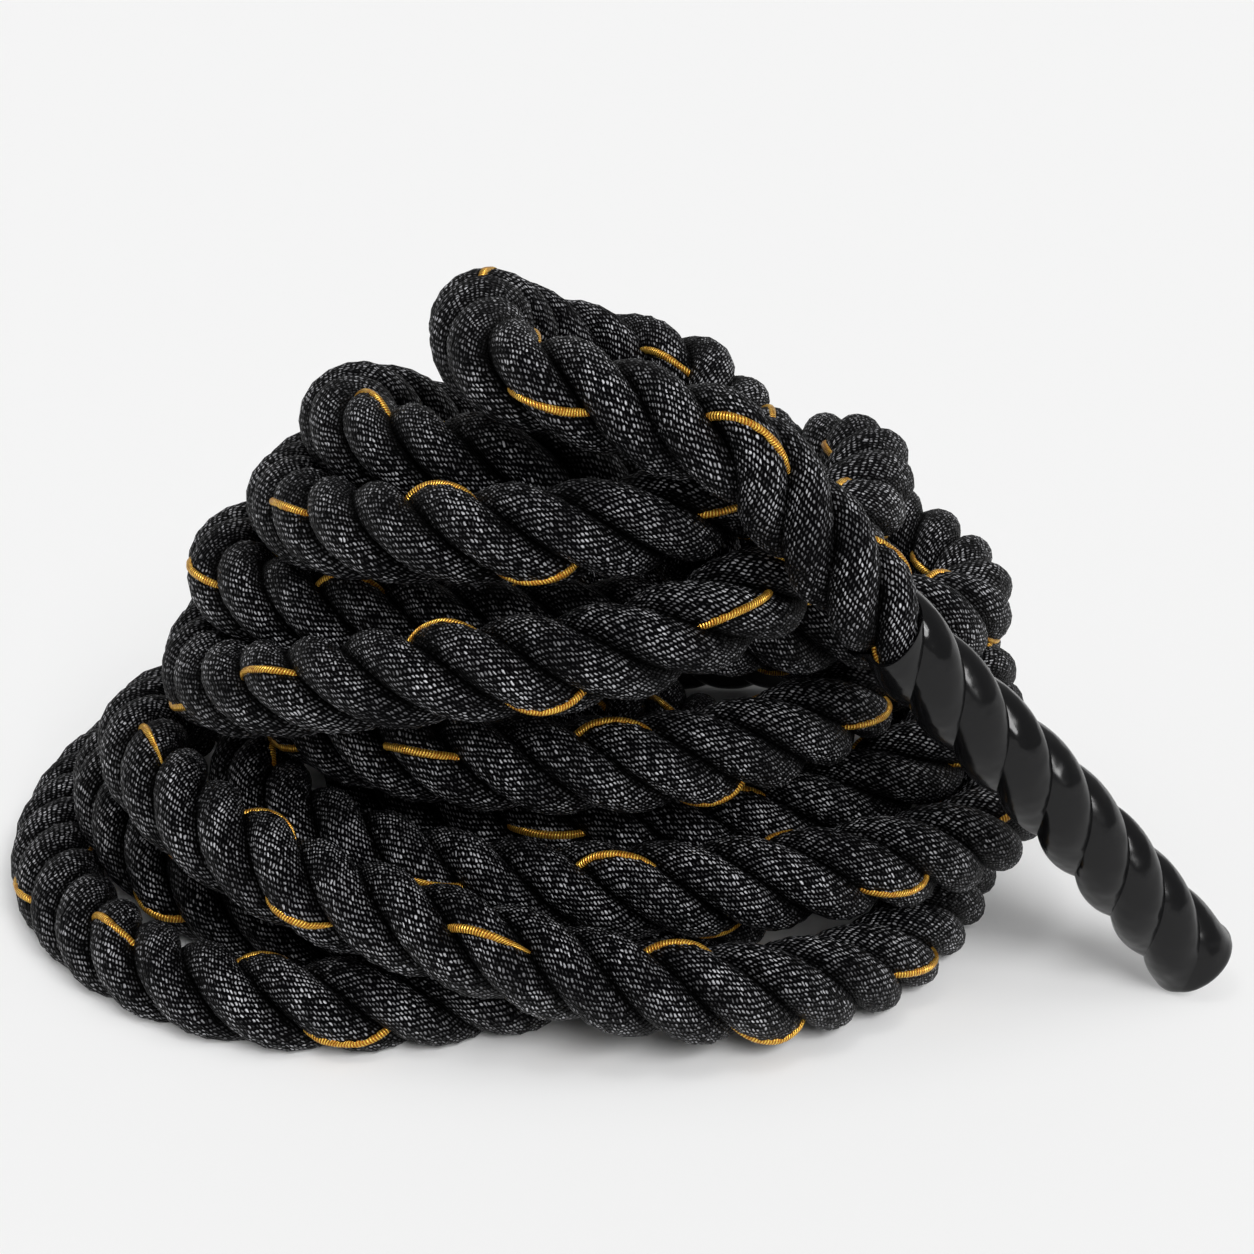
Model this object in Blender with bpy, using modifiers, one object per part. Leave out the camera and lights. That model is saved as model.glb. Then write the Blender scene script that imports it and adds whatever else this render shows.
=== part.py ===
"""Battle rope, lying in a coiled heap.

A thick three-strand exercise rope, nine metres long, lies on the floor in eleven loops. Its
front end wears a shrunk grip that leans down from the top of the heap to the floor, and its
rear end, in the same grip, lies on the floor behind the heap. The rope is one piece. It is
modelled in three stretches that meet face to face: the front end, the coil and the rear end.

All lengths are in metres. +Z is up, the floor is at Z = 0, the heap's front faces -Y, and the
front grip is at its right, +X.
"""
import math

import bmesh
import bpy
import numpy as np
from mathutils import Vector

# The rope. Strands leave crowns and grooves, and in a heap the crowns of one loop bed into the
# grooves of the next, so the plain tube that stands for the rope is a little thinner than the
# rope over its crowns. Loops are laid at least loop_gap apart.
rope_diameter = 0.038
bedded_share = 0.947
loop_gap = 0.001
rope_color = (0.028, 0.028, 0.030)
rope_roughness = 0.7
tube_radius = rope_diameter * bedded_share / 2
loop_pitch = 2 * tube_radius + loop_gap

# The lowest loops are cut flat where they lie on the floor, a tenth of the tube's diameter deep.
flat_share = 0.1
floor_height = tube_radius - flat_share * 2 * tube_radius
cutter_margin = 0.02
cutter_depth = 0.02

# A grip: a thick heat-shrunk sleeve with a closed end and a slightly raised mouth, shrunk so
# hard that the rope inside it is squeezed thinner.
grip_diameter = 0.035
grip_length = 0.196
grip_wall = 0.0015
grip_end_wall = 0.003
grip_end_rounding = 0.003
grip_lip_height = 0.0005
grip_lip_length = 0.004
neck_length = 0.012
piece_gap = 0.0003
grip_sides = 32
edge_steps = 4
grip_color = (0.012, 0.012, 0.013)
grip_roughness = 0.25
grip_radius = grip_diameter / 2
bore_radius = grip_radius - grip_wall
core_radius = bore_radius - piece_gap
lip_radius = grip_radius + grip_lip_height

# The front grip's closed end stands on the floor here. The grip leans at this slope, and its
# closed end points this far round from +X.
FRONT_REST = (0.238, -0.129)
front_slope = math.radians(50.3)
front_heading = math.radians(12.4)

# The rope's way from the front grip up to the coil, and the coil's own straight start.
FRONT_RUN = [(0.088, -0.157, 0.193), (0.059, -0.155, 0.220)]
COIL_START = (0.032, -0.1495, 0.2325)

# The coil's loops, from the top of the heap to the floor, in the order the rope runs. Each has
# a front, a left, a back and a right place. The backs of the lower loops can't be seen from
# the front. They are as deep as the rope's nine metres need, which also makes the heap round.
LOOPS = [
    ((-0.006, -0.139, 0.243), (-0.046, -0.065, 0.247), (0.006, 0.003, 0.212), (0.052, -0.067, 0.182)),
    ((-0.020, -0.151, 0.180), (-0.115, -0.045, 0.167), (0.024, 0.091, 0.128), (0.153, -0.031, 0.119)),
    ((0.006, -0.117, 0.152), (-0.152, -0.041, 0.145), (-0.016, 0.077, 0.094), (0.074, -0.049, 0.142)),
    ((-0.006, -0.117, 0.204), (-0.105, -0.041, 0.193), (0.009, 0.053, 0.138), (0.104, -0.031, 0.166)),
    ((-0.020, -0.159, 0.138), (-0.151, -0.041, 0.108), (0.000, 0.129, 0.120), (0.128, -0.039, 0.102)),
    ((0.008, -0.143, 0.097), (-0.122, -0.051, 0.096), (0.020, 0.149, 0.084), (0.160, -0.042, 0.081)),
    ((0.034, -0.111, 0.056), (-0.096, -0.041, 0.056), (0.020, 0.112, 0.070), (0.161, -0.030, 0.048)),
    ((-0.006, -0.148, 0.048), (-0.138, -0.071, 0.066), (0.014, 0.170, 0.048), (0.165, 0.040, 0.014)),
    ((0.032, -0.178, 0.014), (-0.181, -0.037, 0.073), (-0.036, 0.125, 0.048), (0.056, -0.025, 0.014)),
    ((-0.096, -0.115, 0.014), (-0.200, -0.021, 0.044), (-0.026, 0.150, 0.014), (0.060, -0.021, 0.014)),
    ((-0.096, -0.177, 0.014), (-0.217, 0.000, 0.014), (-0.066, 0.188, 0.018)),
]

# The coil's end and the rear grip's mouth, behind the heap. Both lie straight along +X, so high
# that the raised mouth just clears the floor.
COIL_END = (-0.026, 0.188)
REAR_MOUTH = (-0.006, 0.188)
rear_height = max(tube_radius, lip_radius) + piece_gap

# How finely the line is drawn. A loop has 24 points.
loop_points = 24
arc_points = 24
tube_step = 0.028

# The loops are eased apart in rounds, each of which looks again at which stretches are near:
# nearer than near_share pitches, and more than same_bend_share diameters apart along the rope.
easing_rounds = 40
easing_steps = 15
easing_rate = 1.2
spread_rate = 0.05
last_rounds = 3
samples_per_step = 3
near_share = 1.6
same_bend_share = 2.4


def quarter(start, end, along_x):
    """A quarter of a loop, as an ellipse that leaves its start along X, or else along Y."""
    points = []
    for step in range(arc_points):
        turn = math.pi / 2 * step / arc_points
        lead = math.sin(turn)
        lag = 1 - math.cos(turn)
        share = (lead, lag) if along_x else (lag, lead)
        climb_share = (1 - math.cos(2 * turn)) / 2
        points.append([start[0] + (end[0] - start[0]) * share[0],
                       start[1] + (end[1] - start[1]) * share[1],
                       start[2] + (end[2] - start[2]) * climb_share])
    return points


def smooth_line(knots):
    """A smooth curve from the second knot to the last but one. The outer two only guide it."""
    knots = np.array(knots)
    slopes = (knots[2:] - knots[:-2]) / 2
    inner = knots[1:-1]
    points = []
    for i in range(len(inner) - 1):
        for step in range(arc_points):
            t = step / arc_points
            points.append((2 * t**3 - 3 * t**2 + 1) * inner[i] + (t**3 - 2 * t**2 + t) * slopes[i]
                          + (3 * t**2 - 2 * t**3) * inner[i + 1] + (t**3 - t**2) * slopes[i + 1])
    points.append(inner[-1])
    return np.array(points)


def even_points(line, count):
    """The same line in count equal steps."""
    steps = np.linalg.norm(np.diff(line, axis=0), axis=1)
    places = np.concatenate([[0], np.cumsum(steps)])
    wanted = np.linspace(0, places[-1], count + 1)
    return np.stack([np.interp(wanted, places, line[:, axis]) for axis in range(3)], axis=1)


def straight(start, end):
    """A straight stretch in steps of about tube_step."""
    start, end = np.array(start), np.array(end)
    count = max(1, round(np.linalg.norm(end - start) / tube_step))
    return np.linspace(start, end, count + 1)


def between_points(count):
    """Weights that turn a line of count points into samples_per_step places on each step."""
    places = np.arange((count - 1) * samples_per_step + 1) / samples_per_step
    whole = np.minimum(places.astype(int), count - 2)
    weights = np.zeros((len(places), count))
    rows = np.arange(len(places))
    weights[rows, whole] = 1 - (places - whole)
    weights[rows, whole + 1] = places - whole
    return weights


def near_pairs(places, reach):
    """Pairs of places that are nearer than reach but don't belong to the same bend."""
    apart = np.linalg.norm(places[:, None] - places[None], axis=2)
    skip = round(same_bend_share * rope_diameter / tube_step * samples_per_step)
    return np.where(np.triu(apart < reach, skip))


def ease_apart(line, held):
    """Lay the loops against each other: no two nearer than loop_pitch, none below the floor.

    Each move is spread along the rope, so that it keeps its gentle bends. Held points stay.
    """
    weights = between_points(len(line))
    first = line.copy()
    for round_number in range(easing_rounds):
        one, other = near_pairs(weights @ line, near_share * loop_pitch)
        spreading = round_number < easing_rounds - last_rounds
        for _ in range(easing_steps):
            places = weights @ line
            between = places[one] - places[other]
            length = np.linalg.norm(between, axis=1)
            short = np.clip(loop_pitch - length, 0, None) / 2
            push = between * (short / length)[:, None]
            move = np.zeros_like(places)
            touches = np.zeros(len(places))
            np.add.at(move, one, push)
            np.add.at(move, other, -push)
            np.add.at(touches, one, short > 0)
            np.add.at(touches, other, short > 0)
            move /= np.maximum(touches, 1)[:, None]
            pulls = weights * (touches > 0)[:, None]
            strength = np.maximum((pulls**2).sum(axis=0), 1 / 2)
            shift = line + easing_rate * (pulls.T @ move) / strength[:, None] - first
            if spreading:
                spread = shift[:-2] - 2 * shift[1:-1] + shift[2:]
                shift[1:-1] += spread_rate * spread
            shift[held] = 0
            line = first + shift
            line[:, 2] = np.where(held, line[:, 2], np.maximum(line[:, 2], floor_height))
    return line


def rope_line():
    """The rope's centreline in order: front grip's end, its mouth, the coil, the rear grip."""
    aim = np.array([math.cos(front_slope) * math.cos(front_heading),
                    math.cos(front_slope) * math.sin(front_heading),
                    -math.sin(front_slope)])
    edge_radius = grip_radius - grip_end_rounding
    end_height = (edge_radius * math.cos(front_slope)
                  + grip_end_rounding * (1 - math.sin(front_slope)))
    front_end = np.array([*FRONT_REST, end_height])
    front_mouth = front_end - aim * grip_length
    front_neck = front_mouth - aim * neck_length
    rear_start = np.array([*COIL_END, rear_height])
    rear_mouth = np.array([*REAR_MOUTH, rear_height])
    rear_end = rear_mouth + np.array([grip_length, 0, 0])
    top = np.array(LOOPS[0][0])
    coil_start = np.array(COIL_START)

    run = smooth_line([front_mouth, front_neck, *FRONT_RUN, coil_start, top])
    run_length = np.linalg.norm(np.diff(run, axis=0), axis=1).sum()
    run = even_points(run, round(run_length / tube_step))
    start_aim = (top - coil_start) / np.linalg.norm(top - coil_start)
    run[-2] = coil_start - start_aim * np.linalg.norm(run[-1] - run[-2])
    places = [place for loop in LOOPS for place in loop]
    coil = []
    for i in range(len(places) - 1):
        coil += quarter(places[i], places[i + 1], along_x=i % 2 == 0)
    last = np.array([*places[-1][:2], rear_height])
    coil = even_points(np.array(coil + [last]), loop_points * len(LOOPS) - 2)

    parts = [straight(front_end, front_mouth), run, coil, [rear_start],
             straight(rear_mouth, rear_end)]
    line = np.vstack(parts)
    ends = np.cumsum([len(part) for part in parts])
    marks = {"front_mouth": ends[0] - 1, "coil_start": ends[1] - 1, "coil_end": ends[3] - 1,
             "rear_mouth": ends[3]}
    held = np.zeros(len(line), bool)
    held[:marks["front_mouth"] + 2] = True
    held[marks["coil_start"] - 1:marks["coil_start"] + 2] = True
    held[marks["coil_end"] - 1:] = True
    return ease_apart(line, held), marks


def least_gap(line):
    """The least gap between the tube's surface and itself, measured on points of its line."""
    places = between_points(len(line)) @ line
    one, other = near_pairs(places, near_share * loop_pitch)
    return np.linalg.norm(places[one] - places[other], axis=1).min() - 2 * tube_radius


def material(name, color, roughness):
    """A plain Principled material, with no metal in it."""
    made = bpy.data.materials.new(name)
    made.use_nodes = True
    shader = made.node_tree.nodes["Principled BSDF"]
    shader.inputs["Base Color"].default_value = (*color, 1)
    shader.inputs["Roughness"].default_value = roughness
    shader.inputs["Metallic"].default_value = 0
    made.diffuse_color = (*color, 1)
    return made


def tube(name, points, radii, resolution, look):
    """A round tube along the points. Its radius is given at each point, and its ends are flat."""
    curve = bpy.data.curves.new(name, "CURVE")
    curve.dimensions = "3D"
    curve.bevel_depth = tube_radius
    curve.bevel_resolution = resolution
    curve.use_fill_caps = True
    spline = curve.splines.new("POLY")
    spline.points.add(len(points) - 1)
    for point, place, radius in zip(spline.points, points, radii):
        point.co = (*place, 1)
        point.radius = radius / tube_radius
    curve.materials.append(look)
    piece = bpy.data.objects.new(name, curve)
    rope.objects.link(piece)
    piece.parent = frame
    return piece


def grip(name, mouth, end, look):
    """A closed sleeve, turned from its profile, from its mouth to its closed end."""
    edge = grip_end_rounding
    profile = [(0, grip_end_wall), (bore_radius, grip_end_wall), (bore_radius, grip_length),
               (lip_radius, grip_length), (lip_radius, grip_length - grip_lip_length),
               (grip_radius, grip_length - 2 * grip_lip_length)]
    for step in range(edge_steps + 1):
        turn = math.pi / 2 * step / edge_steps
        profile.append((grip_radius - edge + edge * math.cos(turn), edge - edge * math.sin(turn)))
    profile.append((0, 0))
    mesh = bpy.data.meshes.new(name)
    mesh.from_pydata([(x, 0, z) for x, z in profile],
                     [(i, i + 1) for i in range(len(profile) - 1)], [])
    mesh.materials.append(look)
    piece = bpy.data.objects.new(name, mesh)
    rope.objects.link(piece)
    piece.parent = frame
    piece.location = end
    toward_mouth = Vector(mouth) - Vector(end)
    piece.rotation_euler = toward_mouth.to_track_quat("Z", "Y").to_euler()
    screw = piece.modifiers.new("turned", "SCREW")
    screw.steps = grip_sides
    screw.render_steps = grip_sides
    screw.use_merge_vertices = True
    screw.merge_threshold = 0.00001
    return piece


# Start from an empty scene, with the pieces in one collection and the cutter in another.
for old in list(bpy.data.objects):
    bpy.data.objects.remove(old)
rope = bpy.data.collections.new("battle_rope")
cutters = bpy.data.collections.new("cutters")
bpy.context.scene.collection.children.link(rope)
bpy.context.scene.collection.children.link(cutters)
frame = bpy.data.objects.new("battle_rope_frame", None)
rope.objects.link(frame)

line, marks = rope_line()
steps = np.linalg.norm(np.diff(line, axis=0), axis=1)
print(f"Rope from end to end: {steps.sum():.3f} m")
print(f"Least gap of the rope to itself: {least_gap(line) * 1000:.2f} mm")

# The coil: one unbroken tube of eleven loops, made a mesh, its caps welded, and cut flat where
# it lies on the floor.
coil_resolution = 1
weld_distance = 0.00001
coil_line = line[marks["coil_start"]:marks["coil_end"] + 1]
coil_look = material("rope_coil", rope_color, rope_roughness)
coil_curve = tube("rope_coil_curve", coil_line, [tube_radius] * len(coil_line),
                  coil_resolution, coil_look)
bpy.context.view_layer.update()
evaluated = coil_curve.evaluated_get(bpy.context.evaluated_depsgraph_get())
coil_mesh = bpy.data.meshes.new_from_object(evaluated)
coil = bpy.data.objects.new("rope_coil", coil_mesh)
coil.matrix_world = coil_curve.matrix_world
rope.objects.link(coil)
coil.parent = frame
bpy.data.objects.remove(coil_curve)
edit = bmesh.new()
edit.from_mesh(coil_mesh)
bmesh.ops.remove_doubles(edit, verts=edit.verts, dist=weld_distance)
edit.to_mesh(coil_mesh)
edit.free()

low = coil_line.min(axis=0) - tube_radius - cutter_margin
high = coil_line.max(axis=0) + tube_radius + cutter_margin
bpy.ops.mesh.primitive_cube_add(size=1)
floor_cutter = bpy.context.active_object
floor_cutter.name = "floor_cutter"
for collection in list(floor_cutter.users_collection):
    collection.objects.unlink(floor_cutter)
cutters.objects.link(floor_cutter)
floor_cutter.location = ((low[0] + high[0]) / 2, (low[1] + high[1]) / 2, -cutter_depth / 2)
floor_cutter.scale = (high[0] - low[0], high[1] - low[1], cutter_depth)
floor_cutter.hide_render = True
floor_cutter.display_type = "WIRE"
flat = coil.modifiers.new("flat_on_the_floor", "BOOLEAN")
flat.operation = "DIFFERENCE"
flat.solver = "EXACT"
flat.object = floor_cutter

# The rope's two ends. Each starts at the coil's end face, leaves piece_gap there, necks down
# before the mouth of its grip, and runs on inside it, squeezed, to the grip's closed end.
end_resolution = 2


def end_piece(name, stretch, mouth, end, look):
    """The stretch from the coil's face to the grip's mouth, then the squeezed rope inside it."""
    aim = (end - mouth) / np.linalg.norm(end - mouth)
    points = [*stretch, mouth - aim * neck_length, mouth - aim * piece_gap,
              end - aim * (grip_end_wall + piece_gap)]
    face = (points[1] - points[0]) / np.linalg.norm(points[1] - points[0])
    points[0] = points[0] + face * piece_gap
    radii = [tube_radius] * (len(points) - 2) + [core_radius] * 2
    return tube(name, points, radii, end_resolution, look)


front_mouth = line[marks["front_mouth"]]
rear_mouth = line[marks["rear_mouth"]]
front_look = material("rope_front_end", rope_color, rope_roughness)
rear_look = material("rope_rear_end", rope_color, rope_roughness)
front_stretch = line[marks["front_mouth"] + 2:marks["coil_start"] + 1][::-1]
end_piece("rope_front_end", front_stretch, front_mouth, line[0], front_look)
end_piece("rope_rear_end", [line[marks["coil_end"]]], rear_mouth, line[-1], rear_look)

# The two grips.
front_grip_look = material("grip_front", grip_color, grip_roughness)
rear_grip_look = material("grip_rear", grip_color, grip_roughness)
grip("grip_front", front_mouth, line[0], front_grip_look)
grip("grip_rear", rear_mouth, line[-1], rear_grip_look)
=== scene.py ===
"""Battle rope in a coiled heap: how it looks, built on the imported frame.

A thick three-strand polyester rope with a gold tracer lies in eleven loops. A glossy shrunk
grip leans from the top of the heap down to the floor, and its twin lies behind the heap.

All lengths are in metres. +Z is up, the floor is at Z = 0 and the heap's front faces -Y.
"""
import math

import bmesh
import bpy
import numpy as np
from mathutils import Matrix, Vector


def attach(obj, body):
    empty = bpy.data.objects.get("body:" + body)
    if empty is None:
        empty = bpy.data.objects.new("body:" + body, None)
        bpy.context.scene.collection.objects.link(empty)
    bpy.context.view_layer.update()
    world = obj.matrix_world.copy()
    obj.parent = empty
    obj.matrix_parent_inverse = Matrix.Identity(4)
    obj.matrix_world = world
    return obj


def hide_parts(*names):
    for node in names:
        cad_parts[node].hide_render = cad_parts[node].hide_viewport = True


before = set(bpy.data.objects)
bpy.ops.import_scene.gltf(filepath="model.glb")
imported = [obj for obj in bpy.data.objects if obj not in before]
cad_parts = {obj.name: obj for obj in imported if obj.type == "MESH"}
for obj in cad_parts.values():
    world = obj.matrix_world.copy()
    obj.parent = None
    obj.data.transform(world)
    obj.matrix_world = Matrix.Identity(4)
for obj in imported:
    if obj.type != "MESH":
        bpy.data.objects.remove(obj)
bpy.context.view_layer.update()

# The camera: a long lens, a metre from the heap and a little above it.
picture_pixels = 1254
focal_pixels = 2400
sensor_width = 36
camera_target = Vector((0.014, -0.031, 0.114))
camera_distance = 1.0
camera_slope = math.radians(20)

eye = bpy.data.cameras.new("camera")
eye.sensor_width = sensor_width
eye.lens = sensor_width * focal_pixels / picture_pixels
eye.clip_start = camera_distance / 100
eye.clip_end = 300 * camera_distance
camera = bpy.data.objects.new("camera", eye)
bpy.context.scene.collection.objects.link(camera)
camera.location = camera_target + camera_distance * Vector(
    (0, -math.cos(camera_slope), math.sin(camera_slope)))
camera.rotation_euler = (math.pi / 2 - camera_slope, 0, 0)
bpy.context.scene.camera = camera

# The rope: nine metres of black polyester in three strands, laid right-handed. It lies in
# eleven loops that press each other apart, and both of its ends run into a grip.
rope_diameter = 0.038
bedded_share = 0.947
loop_gap = 0.001
tube_radius = rope_diameter * bedded_share / 2
loop_pitch = 2 * tube_radius + loop_gap
flat_share = 0.1
floor_height = tube_radius - flat_share * 2 * tube_radius
grip_diameter = 0.035
grip_length = 0.196
grip_wall = 0.0015
grip_end_wall = 0.003
grip_end_rounding = 0.003
grip_lip_height = 0.0005
neck_length = 0.012
piece_gap = 0.0003
grip_radius = grip_diameter / 2
lip_radius = grip_radius + grip_lip_height

# The route. The front grip's closed end rests at FRONT_REST. Each loop is given by its front,
# left, back and right places, from the top of the heap down to the floor.
FRONT_REST = (0.238, -0.129)
front_slope = math.radians(50.3)
front_heading = math.radians(12.4)
FRONT_RUN = [(0.088, -0.157, 0.193), (0.059, -0.155, 0.220)]
COIL_START = (0.032, -0.1495, 0.2325)
LOOPS = [
    ((-0.006, -0.139, 0.243), (-0.046, -0.065, 0.247), (0.006, 0.003, 0.212), (0.052, -0.067, 0.182)),
    ((-0.020, -0.151, 0.180), (-0.115, -0.045, 0.167), (0.024, 0.091, 0.128), (0.153, -0.031, 0.119)),
    ((0.006, -0.117, 0.152), (-0.152, -0.041, 0.145), (-0.016, 0.077, 0.094), (0.074, -0.049, 0.142)),
    ((-0.006, -0.117, 0.204), (-0.105, -0.041, 0.193), (0.009, 0.053, 0.138), (0.104, -0.031, 0.166)),
    ((-0.020, -0.159, 0.138), (-0.151, -0.041, 0.108), (0.000, 0.129, 0.120), (0.128, -0.039, 0.102)),
    ((0.008, -0.143, 0.097), (-0.122, -0.051, 0.096), (0.020, 0.149, 0.084), (0.160, -0.042, 0.081)),
    ((0.034, -0.111, 0.056), (-0.096, -0.041, 0.056), (0.020, 0.112, 0.070), (0.161, -0.030, 0.048)),
    ((-0.006, -0.148, 0.048), (-0.138, -0.071, 0.066), (0.014, 0.170, 0.048), (0.165, 0.040, 0.014)),
    ((0.032, -0.178, 0.014), (-0.181, -0.037, 0.073), (-0.036, 0.125, 0.048), (0.056, -0.025, 0.014)),
    ((-0.096, -0.115, 0.014), (-0.200, -0.021, 0.044), (-0.026, 0.150, 0.014), (0.060, -0.021, 0.014)),
    ((-0.096, -0.177, 0.014), (-0.217, 0.000, 0.014), (-0.066, 0.188, 0.018)),
]
COIL_END = (-0.026, 0.188)
REAR_MOUTH = (-0.006, 0.188)
rear_height = max(tube_radius, lip_radius) + piece_gap

# How the loops are eased apart: in rounds of small steps, which also spread each push along
# the rope, except in the last rounds.
loop_points = 24
arc_points = 24
tube_step = 0.028
easing_rounds = 40
easing_steps = 15
easing_rate = 1.2
spread_rate = 0.05
last_rounds = 3
samples_per_step = 3
near_share = 1.6
same_bend_share = 2.4


def quarter(start, end, along_x):
    """A quarter of a loop, as an ellipse that leaves its start along X, or else along Y."""
    points = []
    for step in range(arc_points):
        turn = math.pi / 2 * step / arc_points
        lead = math.sin(turn)
        lag = 1 - math.cos(turn)
        share = (lead, lag) if along_x else (lag, lead)
        climb_share = (1 - math.cos(2 * turn)) / 2
        points.append([start[0] + (end[0] - start[0]) * share[0],
                       start[1] + (end[1] - start[1]) * share[1],
                       start[2] + (end[2] - start[2]) * climb_share])
    return points


def smooth_line(knots):
    """A smooth curve from the second knot to the last but one. The outer two only guide it."""
    knots = np.array(knots)
    slopes = (knots[2:] - knots[:-2]) / 2
    inner = knots[1:-1]
    points = []
    for i in range(len(inner) - 1):
        for step in range(arc_points):
            t = step / arc_points
            points.append((2 * t**3 - 3 * t**2 + 1) * inner[i] + (t**3 - 2 * t**2 + t) * slopes[i]
                          + (3 * t**2 - 2 * t**3) * inner[i + 1] + (t**3 - t**2) * slopes[i + 1])
    points.append(inner[-1])
    return np.array(points)


def even_points(line, count):
    """The same line in count equal steps."""
    steps = np.linalg.norm(np.diff(line, axis=0), axis=1)
    places = np.concatenate([[0], np.cumsum(steps)])
    wanted = np.linspace(0, places[-1], count + 1)
    return np.stack([np.interp(wanted, places, line[:, axis]) for axis in range(3)], axis=1)


def straight(start, end):
    """A straight stretch in steps of about tube_step."""
    start, end = np.array(start), np.array(end)
    count = max(1, round(np.linalg.norm(end - start) / tube_step))
    return np.linspace(start, end, count + 1)


def between_points(count):
    """Weights that turn a line of count points into samples_per_step places on each step."""
    places = np.arange((count - 1) * samples_per_step + 1) / samples_per_step
    whole = np.minimum(places.astype(int), count - 2)
    weights = np.zeros((len(places), count))
    rows = np.arange(len(places))
    weights[rows, whole] = 1 - (places - whole)
    weights[rows, whole + 1] = places - whole
    return weights


def near_pairs(places, reach):
    """Pairs of places that are nearer than reach but don't belong to the same bend."""
    apart = np.linalg.norm(places[:, None] - places[None], axis=2)
    skip = round(same_bend_share * rope_diameter / tube_step * samples_per_step)
    return np.where(np.triu(apart < reach, skip))


def ease_apart(line, held):
    """Lay the loops against each other: no two nearer than loop_pitch, none below the floor."""
    weights = between_points(len(line))
    first = line.copy()
    for round_number in range(easing_rounds):
        one, other = near_pairs(weights @ line, near_share * loop_pitch)
        spreading = round_number < easing_rounds - last_rounds
        for _ in range(easing_steps):
            places = weights @ line
            between = places[one] - places[other]
            length = np.linalg.norm(between, axis=1)
            short = np.clip(loop_pitch - length, 0, None) / 2
            push = between * (short / length)[:, None]
            move = np.zeros_like(places)
            touches = np.zeros(len(places))
            np.add.at(move, one, push)
            np.add.at(move, other, -push)
            np.add.at(touches, one, short > 0)
            np.add.at(touches, other, short > 0)
            move /= np.maximum(touches, 1)[:, None]
            pulls = weights * (touches > 0)[:, None]
            strength = np.maximum((pulls**2).sum(axis=0), 1 / 2)
            shift = line + easing_rate * (pulls.T @ move) / strength[:, None] - first
            if spreading:
                spread = shift[:-2] - 2 * shift[1:-1] + shift[2:]
                shift[1:-1] += spread_rate * spread
            shift[held] = 0
            line = first + shift
            line[:, 2] = np.where(held, line[:, 2], np.maximum(line[:, 2], floor_height))
    return line


def rope_line():
    """The rope's centreline in order: front grip's end, its mouth, the coil, the rear grip."""
    aim = np.array([math.cos(front_slope) * math.cos(front_heading),
                    math.cos(front_slope) * math.sin(front_heading),
                    -math.sin(front_slope)])
    edge_radius = grip_radius - grip_end_rounding
    end_height = (edge_radius * math.cos(front_slope)
                  + grip_end_rounding * (1 - math.sin(front_slope)))
    front_end = np.array([*FRONT_REST, end_height])
    front_mouth = front_end - aim * grip_length
    front_neck = front_mouth - aim * neck_length
    rear_start = np.array([*COIL_END, rear_height])
    rear_mouth = np.array([*REAR_MOUTH, rear_height])
    rear_end = rear_mouth + np.array([grip_length, 0, 0])
    top = np.array(LOOPS[0][0])
    coil_start = np.array(COIL_START)

    run = smooth_line([front_mouth, front_neck, *FRONT_RUN, coil_start, top])
    run_length = np.linalg.norm(np.diff(run, axis=0), axis=1).sum()
    run = even_points(run, round(run_length / tube_step))
    start_aim = (top - coil_start) / np.linalg.norm(top - coil_start)
    run[-2] = coil_start - start_aim * np.linalg.norm(run[-1] - run[-2])
    places = [place for loop in LOOPS for place in loop]
    coil = []
    for i in range(len(places) - 1):
        coil += quarter(places[i], places[i + 1], along_x=i % 2 == 0)
    last = np.array([*places[-1][:2], rear_height])
    coil = even_points(np.array(coil + [last]), loop_points * len(LOOPS) - 2)

    parts = [straight(front_end, front_mouth), run, coil, [rear_start],
             straight(rear_mouth, rear_end)]
    line = np.vstack(parts)
    ends = np.cumsum([len(part) for part in parts])
    # Both grips and the coil's two ends stay where they are.
    held = np.zeros(len(line), bool)
    held[:ends[0] + 1] = True
    held[ends[1] - 2:ends[1] + 1] = True
    held[ends[3] - 2:] = True
    return ease_apart(line, held)


# The strands' own line: the same route as a smooth curve in even steps, with the direction that
# the rope runs in and one side of it, carried along without twist. Near the front grip's
# mouth the soft rope bows a little to the left, and the sleeve bows with it.
ring_step = 0.0048
bow_place = 0.19
bow_width = 0.07
bow_reach = np.array((-0.008, 0, 0))
line = rope_line()
line = line[np.concatenate([[True], np.linalg.norm(np.diff(line, axis=0), axis=1) > piece_gap])]
curve = smooth_line([2 * line[0] - line[1], *line, 2 * line[-1] - line[-2]])
rope_length = np.linalg.norm(np.diff(curve, axis=0), axis=1).sum()
ring_count = round(rope_length / ring_step)
centre = even_points(curve, ring_count)
along = np.linspace(0, rope_length, ring_count + 1)
centre += bow_reach * np.exp(-((along - bow_place) / bow_width)**2)[:, None]
aim = np.gradient(centre, axis=0)
aim /= np.linalg.norm(aim, axis=1)[:, None]
side = np.zeros_like(centre)
carried = np.array([0, 0, 1.0])
for i in range(len(centre)):
    carried = carried - carried @ aim[i] * aim[i]
    carried /= np.linalg.norm(carried)
    side[i] = carried
other_side = np.cross(aim, side)

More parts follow.
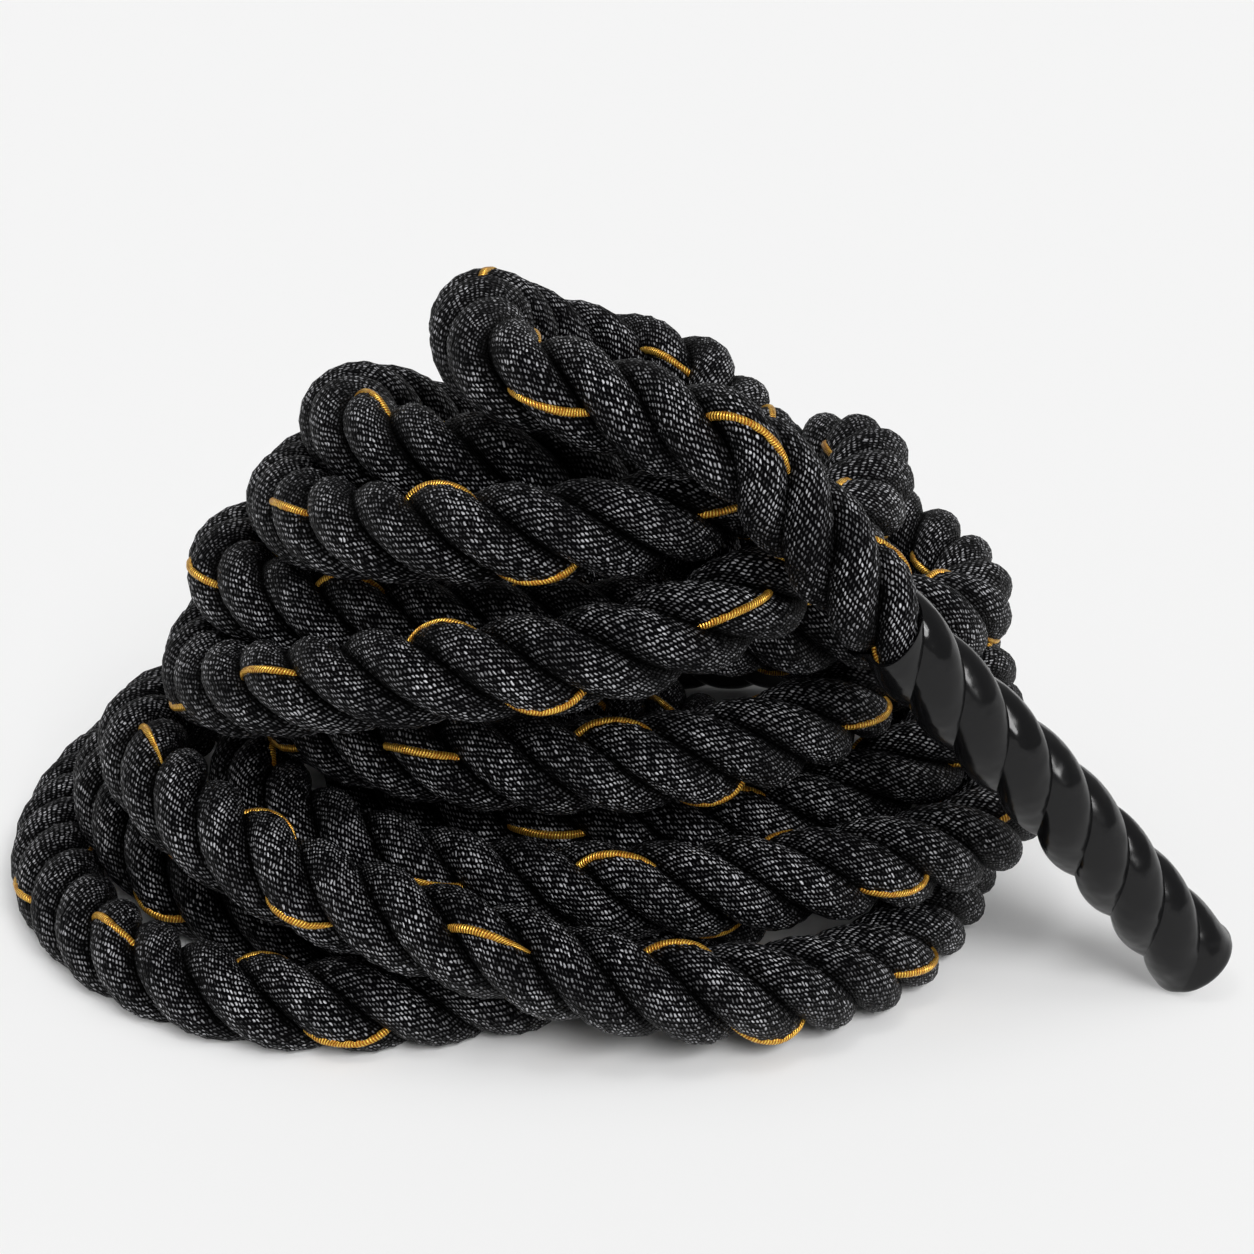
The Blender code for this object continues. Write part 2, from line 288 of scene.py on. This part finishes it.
# Three soft strands of spun polyester, twisted so hard that they sink into one another. Their
# crowns are the rope's full diameter. In the grips they are squeezed thinner and laid shorter,
# and each swells and thins along its length, out of step with the others.
strand_count = 3
strand_radius = 0.0093
lay_length = 0.084
grip_lay_length = 0.073
first_turn = math.radians(30)
squeezed_radius = grip_radius - grip_wall - piece_gap
strand_sides = 16
swell = 0.03
swell_length = 0.061
short_swell_length = 0.0173
swell_shift = 2
short_swell_shift = 1
lay_radius = rope_diameter / 2 - strand_radius
to_end = np.minimum(along, rope_length - along)
in_grip = np.clip((grip_length + neck_length - to_end) / neck_length, 0, 1)
squeeze = 1 - in_grip * (1 - squeezed_radius / (rope_diameter / 2))
turn_rate = 2 * math.pi / (lay_length + in_grip * (grip_lay_length - lay_length))
turn = first_turn + np.concatenate([[0], np.cumsum((turn_rate[1:] + turn_rate[:-1]) / 2
                                                   * np.diff(along))])


def strand(number):
    """One strand's centreline, its direction, and the direction of its crown."""
    angle = turn + 2 * math.pi * number / strand_count
    crown = side * np.cos(angle)[:, None] + other_side * np.sin(angle)[:, None]
    middle = centre + crown * (lay_radius * squeeze)[:, None]
    run = np.gradient(middle, axis=0)
    run /= np.linalg.norm(run, axis=1)[:, None]
    crown = crown - (crown * run).sum(axis=1)[:, None] * run
    crown /= np.linalg.norm(crown, axis=1)[:, None]
    return middle, run, crown


def add_node(tree, kind, inputs=None, **settings):
    """Adds a node. An input that is given a socket is linked, and any other gets the value."""
    node = tree.nodes.new(kind)
    for name, value in settings.items():
        setattr(node, name, value)
    for key, value in (inputs or {}).items():
        if isinstance(value, bpy.types.NodeSocket):
            tree.links.new(value, node.inputs[key])
        else:
            node.inputs[key].default_value = value
    return node


def colour(hex_value):
    """An sRGB colour such as #1A1A1C, in linear light."""
    parts = [int(hex_value[i:i + 2], 16) / 255 for i in (1, 3, 5)]
    return (*[p / 12.92 if p <= 0.04045 else ((p + 0.055) / 1.055) ** 2.4 for p in parts], 1)


# A round strand or yarn along each guide line, with its crown side first in every ring.
laid = bpy.data.node_groups.new("laid_strands", "GeometryNodeTree")
laid.interface.new_socket("Lines", in_out="INPUT", socket_type="NodeSocketGeometry")
radius_input = laid.interface.new_socket("Radius", in_out="INPUT", socket_type="NodeSocketFloat")
sides_input = laid.interface.new_socket("Sides", in_out="INPUT", socket_type="NodeSocketInt")
look_input = laid.interface.new_socket("Look", in_out="INPUT", socket_type="NodeSocketMaterial")
laid.interface.new_socket("Strands", in_out="OUTPUT", socket_type="NodeSocketGeometry")
given = add_node(laid, "NodeGroupInput").outputs
crown_side = add_node(laid, "GeometryNodeInputNamedAttribute", {"Name": "crown"},
                      data_type="FLOAT_VECTOR").outputs["Attribute"]
thickness = add_node(laid, "GeometryNodeInputNamedAttribute", {"Name": "thickness"},
                     data_type="FLOAT").outputs["Attribute"]
rails = add_node(laid, "GeometryNodeMeshToCurve", {"Mesh": given["Lines"]}).outputs["Curve"]
rails = add_node(laid, "GeometryNodeSetCurveNormal", {"Curve": rails, "Normal": crown_side},
                 mode="FREE").outputs["Curve"]
round_section = add_node(laid, "GeometryNodeCurvePrimitiveCircle",
                         {"Resolution": given["Sides"], "Radius": given["Radius"]}).outputs["Curve"]
tubes = add_node(laid, "GeometryNodeCurveToMesh",
                 {"Curve": rails, "Profile Curve": round_section, "Scale": thickness,
                  "Fill Caps": True}).outputs["Mesh"]
tubes = add_node(laid, "GeometryNodeSetShadeSmooth", {"Geometry": tubes}).outputs["Geometry"]
tubes = add_node(laid, "GeometryNodeRealizeInstances", {"Geometry": tubes}).outputs["Geometry"]
tubes = add_node(laid, "GeometryNodeSetMaterial",
                 {"Geometry": tubes, "Material": given["Look"]}).outputs["Geometry"]
add_node(laid, "NodeGroupOutput", {"Strands": tubes})


def lay_up(name, guides, radius, sides, look):
    """A plain mesh of round strands along the guides, with UVs in turns and in metres."""
    guide_mesh = bpy.data.meshes.new(name + "_guides")
    points = np.vstack([guide[0] for guide in guides])
    count = len(guides[0][0])
    edges = [(g * count + i, g * count + i + 1) for g in range(len(guides)) for i in range(count - 1)]
    guide_mesh.from_pydata(points, edges, [])
    crowns = guide_mesh.attributes.new("crown", "FLOAT_VECTOR", "POINT")
    crowns.data.foreach_set("vector", np.vstack([guide[1] for guide in guides]).ravel())
    sizes = guide_mesh.attributes.new("thickness", "FLOAT", "POINT")
    sizes.data.foreach_set("value", np.concatenate([guide[2] for guide in guides]))
    guide_object = bpy.data.objects.new(name + "_guides", guide_mesh)
    bpy.context.scene.collection.objects.link(guide_object)
    modifier = guide_object.modifiers.new("laid", "NODES")
    modifier.node_group = laid
    modifier[radius_input.identifier] = radius
    modifier[sides_input.identifier] = sides
    modifier[look_input.identifier] = look
    bpy.context.view_layer.update()
    evaluated = guide_object.evaluated_get(bpy.context.evaluated_depsgraph_get())
    mesh = bpy.data.meshes.new_from_object(evaluated)
    bpy.data.objects.remove(guide_object)
    mesh.name = name

    corner = np.zeros(len(mesh.loops), np.int32)
    mesh.loops.foreach_get("vertex_index", corner)
    place = corner % sides
    ring = corner // sides
    sizes_of_faces = np.zeros(len(mesh.polygons), np.int32)
    mesh.polygons.foreach_get("loop_total", sizes_of_faces)
    face = np.repeat(np.arange(len(mesh.polygons)), sizes_of_faces)
    wraps = np.zeros(len(mesh.polygons), bool)
    np.logical_or.at(wraps, face, place == sides - 1)
    lifted = place + sides * (wraps[face] & (place == 0))
    strand_along = np.concatenate([np.concatenate(
        [[0], np.cumsum(np.linalg.norm(np.diff(guide[0], axis=0), axis=1))]) for guide in guides])
    uv = mesh.uv_layers.new(name="UVMap")
    uv.data.foreach_set("uv", np.stack([lifted / sides, strand_along[ring]], axis=1).ravel())
    piece = bpy.data.objects.new(name, mesh)
    bpy.context.scene.collection.objects.link(piece)
    return piece


# The lowest strands settle on the floor: below settle_height the rope is pressed flatter, so
# that its lowest crowns rest at settle_gap.
settle_height = 0.009
settle_gap = 0.0003
settle_depth = rope_diameter / 2 - floor_height


def settle(piece):
    """Press what lies near the floor up onto it, smoothly."""
    count = len(piece.data.vertices)
    places = np.zeros(count * 3, np.float32)
    piece.data.vertices.foreach_get("co", places)
    places = places.reshape(-1, 3)
    below = np.clip(settle_height - places[:, 2], 0, settle_height + settle_depth)
    press = (settle_depth + settle_gap) / (settle_height + settle_depth)**2
    places[:, 2] = np.where(below > 0, settle_height - below + press * below**2, places[:, 2])
    piece.data.vertices.foreach_set("co", places.ravel())
    piece.data.update()


# Black polyester yarn, plied and laid. It is dull and nearly black. Its yarns lie in rows that
# run along the rope over each crown, about 1.6 mm apart, and where each ply crosses a row its
# glint is a grey dash, 1.5 to 1.8 mm long, painted into the colour as a highlight, with a real
# glossier sheen on it too. The real ones are little finer. The rows wander by one row in 9 mm
# and fray in 3 mm, and in some patches of 17 mm the painted dashes are dimmer. Down between the
# strands the painted dashes fade out and the black is painted darker still, as painted shade.
tracer_turns_per_lay = 2.4
row_count = 22
stitch_count = 40
stitch_lean = -120
row_wander = 1.0
wander_scale = 110
fray = 0.9
fray_scale = 330
patch_scale = 60
chance_share = 0.3
dash_start = 0.66
dash_full = 1.12
dimmest_dash = 0.05
dimmest_patch = 0.25
painted_shade_edge = -0.05
painted_light_full = 0.95
yarn_roughness = 0.6
dash_roughness = 0.34
strand_lay = math.hypot(lay_length, 2 * math.pi * lay_radius)
row_lean = row_count * tracer_turns_per_lay / strand_lay
yarn_bump = 0.0006
polyester = bpy.data.materials.new("black_polyester_yarn")
polyester.use_nodes = True
nodes = polyester.node_tree
shader = nodes.nodes["Principled BSDF"]
uv_place = add_node(nodes, "ShaderNodeUVMap", uv_map="UVMap").outputs["UV"]
whereabouts = add_node(nodes, "ShaderNodeTexCoord").outputs["Object"]
wander = add_node(nodes, "ShaderNodeTexNoise",
                  {"Vector": whereabouts, "Scale": wander_scale, "Detail": 1.0}).outputs["Fac"]
drift = add_node(nodes, "ShaderNodeMath", {0: wander, 1: row_wander}, operation="MULTIPLY").outputs[0]
loose = add_node(nodes, "ShaderNodeTexNoise",
                 {"Vector": whereabouts, "Scale": fray_scale, "Detail": 1.0}).outputs["Fac"]
drift = add_node(nodes, "ShaderNodeMath", {0: loose, 1: fray, 2: drift},
                 operation="MULTIPLY_ADD").outputs[0]
rows = add_node(nodes, "ShaderNodeVectorMath", {0: uv_place, 1: (row_count, row_lean, 0)},
                operation="DOT_PRODUCT").outputs["Value"]
rows = add_node(nodes, "ShaderNodeMath", {0: rows, 1: drift}, operation="ADD").outputs[0]
stitches = add_node(nodes, "ShaderNodeVectorMath", {0: uv_place, 1: (stitch_count, stitch_lean, 0)},
                    operation="DOT_PRODUCT").outputs["Value"]
stitches = add_node(nodes, "ShaderNodeMath", {0: stitches, 1: drift}, operation="ADD").outputs[0]
row_share = add_node(nodes, "ShaderNodeMath", {0: rows, 1: math.pi}, operation="MULTIPLY").outputs[0]
row_wave = add_node(nodes, "ShaderNodeMath", {0: row_share}, operation="SINE").outputs[0]
row_round = add_node(nodes, "ShaderNodeMath", {0: row_wave}, operation="ABSOLUTE").outputs[0]
ply_share = add_node(nodes, "ShaderNodeMath", {0: stitches, 1: math.pi}, operation="MULTIPLY").outputs[0]
ply_wave = add_node(nodes, "ShaderNodeMath", {0: ply_share}, operation="SINE").outputs[0]
ply_round = add_node(nodes, "ShaderNodeMath", {0: ply_wave}, operation="ABSOLUTE").outputs[0]
bead = add_node(nodes, "ShaderNodeMath", {0: row_round, 1: ply_round}, operation="MULTIPLY").outputs[0]
row_number = add_node(nodes, "ShaderNodeMath", {0: rows}, operation="FLOOR").outputs[0]
ply_number = add_node(nodes, "ShaderNodeMath", {0: stitches}, operation="FLOOR").outputs[0]
which = add_node(nodes, "ShaderNodeCombineXYZ", {"X": row_number, "Y": ply_number}).outputs["Vector"]
chance = add_node(nodes, "ShaderNodeTexWhiteNoise", {"Vector": which}).outputs["Value"]
# How bright each dash's painted highlight is: dimmer at random for each dash, and dimmer in patches.
shine = add_node(nodes, "ShaderNodeMapRange",
                 {"Value": chance, "To Min": dimmest_dash}).outputs["Result"]
patch = add_node(nodes, "ShaderNodeTexNoise",
                 {"Vector": whereabouts, "Scale": patch_scale, "Detail": 2.0}).outputs["Fac"]
patch = add_node(nodes, "ShaderNodeMapRange", {"Value": patch, "From Min": 0.35, "From Max": 0.65,
                                               "To Min": dimmest_patch}).outputs["Result"]
shine = add_node(nodes, "ShaderNodeMath", {0: shine, 1: patch}, operation="MULTIPLY").outputs[0]
size = add_node(nodes, "ShaderNodeMath", {0: chance, 1: chance_share, 2: bead},
                operation="MULTIPLY_ADD").outputs[0]
dash = add_node(nodes, "ShaderNodeMapRange",
                {"Value": size, "From Min": dash_start, "From Max": dash_full},
                interpolation_type="SMOOTHSTEP").outputs["Result"]
dash = add_node(nodes, "ShaderNodeMath", {0: dash, 1: shine}, operation="MULTIPLY").outputs[0]
# Painted shade: this share falls from 1 on the crowns to 0 down between the strands, where it fades the
# painted dashes.
around_strand = add_node(nodes, "ShaderNodeVectorMath", {0: uv_place, 1: (2 * math.pi, 0, 0)},
                         operation="DOT_PRODUCT").outputs["Value"]
facing_out = add_node(nodes, "ShaderNodeMath", {0: around_strand}, operation="COSINE").outputs[0]
painted_light_share = add_node(nodes, "ShaderNodeMapRange",
                       {"Value": facing_out, "From Min": painted_shade_edge, "From Max": painted_light_full},
                       interpolation_type="SMOOTHSTEP").outputs["Result"]
dash = add_node(nodes, "ShaderNodeMath", {0: dash, 1: painted_light_share}, operation="MULTIPLY").outputs[0]
# Painted shade: the black is painted a shade darker down between the strands than on their crowns.
# The Mix node's colour sockets, 6 and 7, come after its float and vector ones.
cloth = add_node(nodes, "ShaderNodeMix", {0: painted_light_share, 6: colour("#010101"), 7: colour("#040405")},
                 data_type="RGBA").outputs[2]
# Painted highlight: the grey dashes are painted into the base colour over the black.
cloth = add_node(nodes, "ShaderNodeMix", {0: dash, 6: cloth, 7: colour("#C0C0C4")},
                 data_type="RGBA").outputs[2]
nodes.links.new(cloth, shader.inputs["Base Color"])
bump = add_node(nodes, "ShaderNodeBump", {"Height": bead, "Strength": 0.8, "Distance": yarn_bump})
nodes.links.new(bump.outputs["Normal"], shader.inputs["Normal"])
sheen = add_node(nodes, "ShaderNodeMapRange",
                 {"Value": dash, "To Min": yarn_roughness, "To Max": dash_roughness})
nodes.links.new(sheen.outputs["Result"], shader.inputs["Roughness"])
glint = add_node(nodes, "ShaderNodeMix", {0: dash, 6: colour("#202020"), 7: colour("#FFFFFF")},
                 data_type="RGBA").outputs[2]
nodes.links.new(glint, shader.inputs["Specular Tint"])
shader.inputs["Specular IOR Level"].default_value = 0.5

strands = [strand(number) for number in range(strand_count)]
plump = []
for number in range(strand_count):
    slow_wave = np.sin(2 * math.pi * along / swell_length + swell_shift * number)
    quick_wave = np.sin(2 * math.pi * along / short_swell_length + short_swell_shift * number)
    plump.append(squeeze * (1 + swell * (slow_wave + quick_wave) / 2))

# The strands start and end one ring inside the grips, whose closed ends cover them.
rope = lay_up("rope", [(middle[1:-1], crown[1:-1], plump[number][1:-1])
                       for number, (middle, run, crown) in enumerate(strands)],
              strand_radius, strand_sides, polyester)
settle(rope)
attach(rope, "root")
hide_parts("rope_coil", "rope_front_end", "rope_rear_end")

# The tracer: one gold yarn among the black ones of one strand, so that the rope's length and
# twist can be read. It runs along the rope over the strand's crown, and dives at each side.
tracer_radius = 0.0017
tracer_sink = 0.0007
tracer_sides = 8
tracer_steps = 3
wrap_pitch = 0.0011
painted_glint_scale = 420
dimmest_painted_glint = 0.4
painted_shade_wave = -0.8
painted_light_wave = 0.5

# Gold filament with a thin metal coat, twisted: bright and silky. A darker line is painted between
# its turns as shade, and the turns are painted brighter, with painted glints where single filaments
# lie flat. The turns are 1.1 mm apart and the glints 2.4 mm, which is coarser than they are, so
# that they show.
gold = bpy.data.materials.new("gold_metallised_filament")
gold.use_nodes = True
nodes = gold.node_tree
shader = nodes.nodes["Principled BSDF"]
uv_place = add_node(nodes, "ShaderNodeUVMap", uv_map="UVMap").outputs["UV"]
wraps = add_node(nodes, "ShaderNodeVectorMath",
                 {0: uv_place, 1: (2 * math.pi, 2 * math.pi / wrap_pitch, 0)},
                 operation="DOT_PRODUCT").outputs["Value"]
wrap_wave = add_node(nodes, "ShaderNodeMath", {0: wraps}, operation="SINE").outputs[0]
painted_wrap_light = add_node(nodes, "ShaderNodeMapRange",
                      {"Value": wrap_wave, "From Min": painted_shade_wave, "From Max": painted_light_wave},
                      interpolation_type="SMOOTHSTEP").outputs["Result"]
whereabouts = add_node(nodes, "ShaderNodeTexCoord").outputs["Object"]
painted_glint = add_node(nodes, "ShaderNodeTexNoise",
                   {"Vector": whereabouts, "Scale": painted_glint_scale, "Detail": 1.0}).outputs["Fac"]
painted_glint = add_node(nodes, "ShaderNodeMapRange", {"Value": painted_glint, "From Min": 0.35, "From Max": 0.6,
                                                 "To Min": dimmest_painted_glint}).outputs["Result"]
painted_wrap_light = add_node(nodes, "ShaderNodeMath", {0: painted_wrap_light, 1: painted_glint},
                      operation="MULTIPLY").outputs[0]
# Painted shade and highlight: dark amber between the turns, bright gold on them, broken up by the
# painted glints.
thread = add_node(nodes, "ShaderNodeMix", {0: painted_wrap_light, 6: colour("#A85C06"), 7: colour("#FFD860")},
                  data_type="RGBA").outputs[2]
nodes.links.new(thread, shader.inputs["Base Color"])
bump = add_node(nodes, "ShaderNodeBump", {"Height": wrap_wave, "Strength": 0.7, "Distance": 0.0003})
nodes.links.new(bump.outputs["Normal"], shader.inputs["Normal"])
shader.inputs["Roughness"].default_value = 0.34
shader.inputs["Metallic"].default_value = 0.7

middle, run, crown = strands[0]
beside = np.cross(run, crown)
tracer_turn = -(turn - first_turn) * tracer_turns_per_lay
out = crown * np.cos(tracer_turn)[:, None] + beside * np.sin(tracer_turn)[:, None]
tracer_middle = middle + out * (strand_radius * plump[0] - tracer_sink * squeeze)[:, None]
tracer_count = tracer_steps * ring_count
tracer_middle = even_points(smooth_line([2 * tracer_middle[0] - tracer_middle[1], *tracer_middle,
                                         2 * tracer_middle[-1] - tracer_middle[-2]]), tracer_count)
tracer_crown = even_points(out, tracer_count)
tracer_middle = tracer_middle[tracer_steps:-tracer_steps]
tracer_crown = tracer_crown[tracer_steps:-tracer_steps]
tracer = lay_up("rope_tracer", [(tracer_middle, tracer_crown, np.ones(len(tracer_middle)))],
                tracer_radius, tracer_sides, gold)
settle(tracer)
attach(tracer, "root")

# The grips: a thick sleeve of heat-shrink tube on each end, shrunk with hot air until it takes
# the strands' shape. Its mouth is cut to a tip on one side and dips beside it, and its closed
# end is pressed blunt.
sleeve_crown_radius = 0.0171
sleeve_groove_depth = 0.003
sleeve_groove_power = 2.1
sleeve_sides = 144
sleeve_ring_step = 0.0014
mouth_tip_length = 0.005
mouth_tip_power = 8
mouth_dip = 0.006
mouth_blend = 0.03
mouth_flare = 0.0004
mouth_flare_length = 0.004
end_fill = 0.8
end_fill_length = 0.014
end_flare = 0.0004
end_flare_length = 0.008
end_rounding = 0.003
rounding_steps = 4


def sleeve_radius(from_crown, from_end):
    """How far the sleeve's outside is from its axis, by the angle from the nearest crown."""
    share = np.abs(from_crown) / (math.pi / strand_count)
    depth = sleeve_groove_depth * (1 - end_fill * math.exp(-(from_end / end_fill_length)**2))
    radius = sleeve_crown_radius - depth * share**sleeve_groove_power
    radius += end_flare * math.exp(-(from_end / end_flare_length)**2)
    radius += mouth_flare * math.exp(-(max(grip_length - from_end, 0) / mouth_flare_length)**2)
    return radius


def on_axis(from_end, places, axis):
    """Where the sleeve's axis is, at these distances from its closed end."""
    return np.stack([np.interp(from_end, places, axis[:, k]) for k in range(3)], axis=-1)


def sleeve(name, places, turns, axes, tip_angle):
    """A closed sleeve with one crown for each strand, from its closed end to its mouth."""
    axis, first_side, second_side = axes
    spread = 2 * math.pi * np.arange(sleeve_sides) / sleeve_sides
    half_crown = math.pi / strand_count
    from_crown = (spread + half_crown) % (2 * half_crown) - half_crown
    profile = []
    for step in range(rounding_steps):
        lean = math.pi / 2 * step / rounding_steps
        profile.append((end_rounding * (1 - math.cos(lean)), -end_rounding * (1 - math.sin(lean))))
    outer_count = round((grip_length - end_rounding) / sleeve_ring_step)
    for from_end in np.linspace(end_rounding, grip_length, outer_count + 1):
        profile.append((from_end, 0))
    for from_end in np.linspace(grip_length, grip_end_wall, outer_count // 2):
        profile.append((from_end, -grip_wall))
    rim_angle = np.interp(grip_length, places, turns) + spread
    toward_tip = np.cos(rim_angle - tip_angle)
    toward_dip = np.cos(rim_angle - tip_angle + math.pi / 2)
    slant = (mouth_tip_length * np.clip(toward_tip, 0, 1)**mouth_tip_power
             - mouth_dip * np.clip(toward_dip, 0, 1)**2)
    points = []
    for from_end, inset in profile:
        pull = np.clip((from_end - grip_length + mouth_blend) / mouth_blend, 0, 1)**2
        place = from_end + slant * pull
        angle = np.interp(place, places, turns) + spread
        radius = sleeve_radius(from_crown, from_end) + inset
        ring = (on_axis(place, places, axis)
                + first_side * (radius * np.cos(angle))[:, None]
                + second_side * (radius * np.sin(angle))[:, None])
        points.append(ring)
    count = len(points)
    centres = [on_axis(0, places, axis), on_axis(grip_end_wall, places, axis)]
    mesh = bpy.data.meshes.new(name)
    edit = bmesh.new()
    verts = [edit.verts.new(point) for ring in points for point in ring]
    poles = [edit.verts.new(point) for point in centres]
    for r in range(count - 1):
        for s in range(sleeve_sides):
            n = (s + 1) % sleeve_sides
            edit.faces.new((verts[r * sleeve_sides + s], verts[r * sleeve_sides + n],
                            verts[(r + 1) * sleeve_sides + n], verts[(r + 1) * sleeve_sides + s]))
    for s in range(sleeve_sides):
        n = (s + 1) % sleeve_sides
        edit.faces.new((poles[0], verts[n], verts[s]))
        edit.faces.new((poles[1], verts[(count - 1) * sleeve_sides + s],
                        verts[(count - 1) * sleeve_sides + n]))
    bmesh.ops.recalc_face_normals(edit, faces=edit.faces)
    edit.to_mesh(mesh)
    edit.free()
    mesh.shade_smooth()
    mesh.set_sharp_from_angle(angle=sharp_angle)
    mesh.materials.append(polyolefin)
    piece = bpy.data.objects.new(name, mesh)
    bpy.context.scene.collection.objects.link(piece)
    return piece


# Black polyolefin, shrunk hot: a smooth glossy skin with slow ripples 18 mm long, and duller
# patches of 22 mm where the hot air played on it.
sharp_angle = math.radians(35)
ripple_scale = 55
dull_patch_scale = 45
glossiest = 0.12
dullest = 0.24
polyolefin = bpy.data.materials.new("black_heat_shrunk_polyolefin")
polyolefin.use_nodes = True
nodes = polyolefin.node_tree
shader = nodes.nodes["Principled BSDF"]
shader.inputs["Base Color"].default_value = colour("#0A0A0B")
shader.inputs["Specular IOR Level"].default_value = 0.3
whereabouts = add_node(nodes, "ShaderNodeTexCoord").outputs["Object"]
patch = add_node(nodes, "ShaderNodeTexNoise",
                 {"Vector": whereabouts, "Scale": dull_patch_scale, "Detail": 2.0}).outputs["Fac"]
dullness = add_node(nodes, "ShaderNodeMapRange",
                    {"Value": patch, "From Min": 0.35, "From Max": 0.7,
                     "To Min": glossiest, "To Max": dullest})
nodes.links.new(dullness.outputs["Result"], shader.inputs["Roughness"])
ripple = add_node(nodes, "ShaderNodeTexNoise",
                  {"Vector": whereabouts, "Scale": ripple_scale, "Detail": 2.0}).outputs["Fac"]
bump = add_node(nodes, "ShaderNodeBump", {"Height": ripple, "Strength": 0.9, "Distance": 0.002})
nodes.links.new(bump.outputs["Normal"], shader.inputs["Normal"])

front_tip_angle = math.radians(0)
rear_tip_angle = math.radians(90)
front_sleeve = sleeve("grip_sleeve_front", along, turn, (centre, side[0], other_side[0]),
                      front_tip_angle)
rear_sleeve = sleeve("grip_sleeve_rear", rope_length - along[::-1], turn[::-1],
                     (centre[::-1], side[-1], other_side[-1]), rear_tip_angle)
for piece, node in ((front_sleeve, "grip_front"), (rear_sleeve, "grip_rear")):
    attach(piece, "root")
    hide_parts(node)

# The floor: a very wide sheet of matt white paper, turned up along its far edges. Outside the
# heap half of its light is its own even white, so that the shadow is as pale as between wide
# studio lamps, and far away all of it is. These distances are in the heap's own half widths.
floor_size = 100
floor_edge = 8
shadow_lift = 0.5
heap_reach = (0.24, 0.2)
lift_start = 0.95
lift_full = 1.25
plain_start = 10
plain_full = 80
floor_mesh = bpy.data.meshes.new("floor")
half = floor_size / 2
corners = [(-half, -half), (half, -half), (half, half), (-half, half)]
floor_mesh.from_pydata([(x, y, 0) for x, y in corners] + [(x, y, floor_edge) for x, y in corners], [],
                       [(0, 1, 2, 3), (0, 4, 5, 1), (1, 5, 6, 2), (2, 6, 7, 3), (3, 7, 4, 0)])
floor = bpy.data.objects.new("floor", floor_mesh)
bpy.context.scene.collection.objects.link(floor)
paper = bpy.data.materials.new("white_paper")
paper.use_nodes = True
nodes = paper.node_tree
shader = nodes.nodes["Principled BSDF"]
shader.inputs["Base Color"].default_value = colour("#F4F4F4")
shader.inputs["Roughness"].default_value = 0.95
shader.inputs["Specular IOR Level"].default_value = 0
ray = add_node(nodes, "ShaderNodeLightPath").outputs
seen = add_node(nodes, "ShaderNodeMath", {0: ray["Is Camera Ray"], 1: ray["Is Glossy Ray"]},
                operation="MAXIMUM").outputs[0]
seen = add_node(nodes, "ShaderNodeMath", {0: seen, 1: ray["Is Transmission Ray"]},
                operation="MAXIMUM").outputs[0]
spot = add_node(nodes, "ShaderNodeTexCoord").outputs["Object"]
spot = add_node(nodes, "ShaderNodeVectorMath",
                {0: spot, 1: (1 / heap_reach[0], 1 / heap_reach[1], 0)},
                operation="MULTIPLY").outputs[0]
spot = add_node(nodes, "ShaderNodeVectorMath", {0: spot}, operation="LENGTH").outputs["Value"]
away = add_node(nodes, "ShaderNodeMapRange",
                {"Value": spot, "From Min": lift_start, "From Max": lift_full},
                interpolation_type="SMOOTHSTEP").outputs["Result"]
far_off = add_node(nodes, "ShaderNodeMapRange",
                   {"Value": spot, "From Min": plain_start, "From Max": plain_full,
                    "To Min": shadow_lift},
                   interpolation_type="SMOOTHSTEP").outputs["Result"]
away = add_node(nodes, "ShaderNodeMath", {0: away, 1: far_off}, operation="MULTIPLY").outputs[0]
lift = add_node(nodes, "ShaderNodeMath", {0: seen, 1: away}, operation="MULTIPLY").outputs[0]
glow = add_node(nodes, "ShaderNodeEmission", {"Color": colour("#F4F4F4")}).outputs[0]
lit = add_node(nodes, "ShaderNodeMixShader",
               {0: lift, 1: shader.outputs["BSDF"], 2: glow}).outputs[0]
nodes.links.new(lit, nodes.nodes["Material Output"].inputs["Surface"])
floor_mesh.materials.append(paper)

# The light: a pale room, a wide soft lamp overhead, a bright one low in front, a smaller one
# to the right and a small one to the left. They are so far away that the floor is lit evenly.
room_light = 0.28
world = bpy.data.worlds.new("studio")
bpy.context.scene.world = world
world.use_nodes = True
world.node_tree.nodes["Background"].inputs["Color"].default_value = colour("#FFFFFF")
world.node_tree.nodes["Background"].inputs["Strength"].default_value = room_light
for name, place, width, light in (("overhead_lamp", (0, -0.1, 1.0), math.radians(50), 0.38),
                                  ("front_lamp", (0.26, -0.74, 0.56), math.radians(24), 2.05),
                                  ("right_lamp", (0.42, -0.56, 0.68), math.radians(16), 0.75),
                                  ("left_lamp", (-0.25, -0.2, 0.95), math.radians(12), 0.2)):
    lamp = bpy.data.lights.new(name, "SUN")
    lamp.energy = light
    lamp.angle = width
    lamp_object = bpy.data.objects.new(name, lamp)
    bpy.context.scene.collection.objects.link(lamp_object)
    lamp_object.location = place
    lamp_object.rotation_euler = (-Vector(place)).to_track_quat("-Z", "Y").to_euler()

bpy.context.scene.view_settings.view_transform = "Standard"
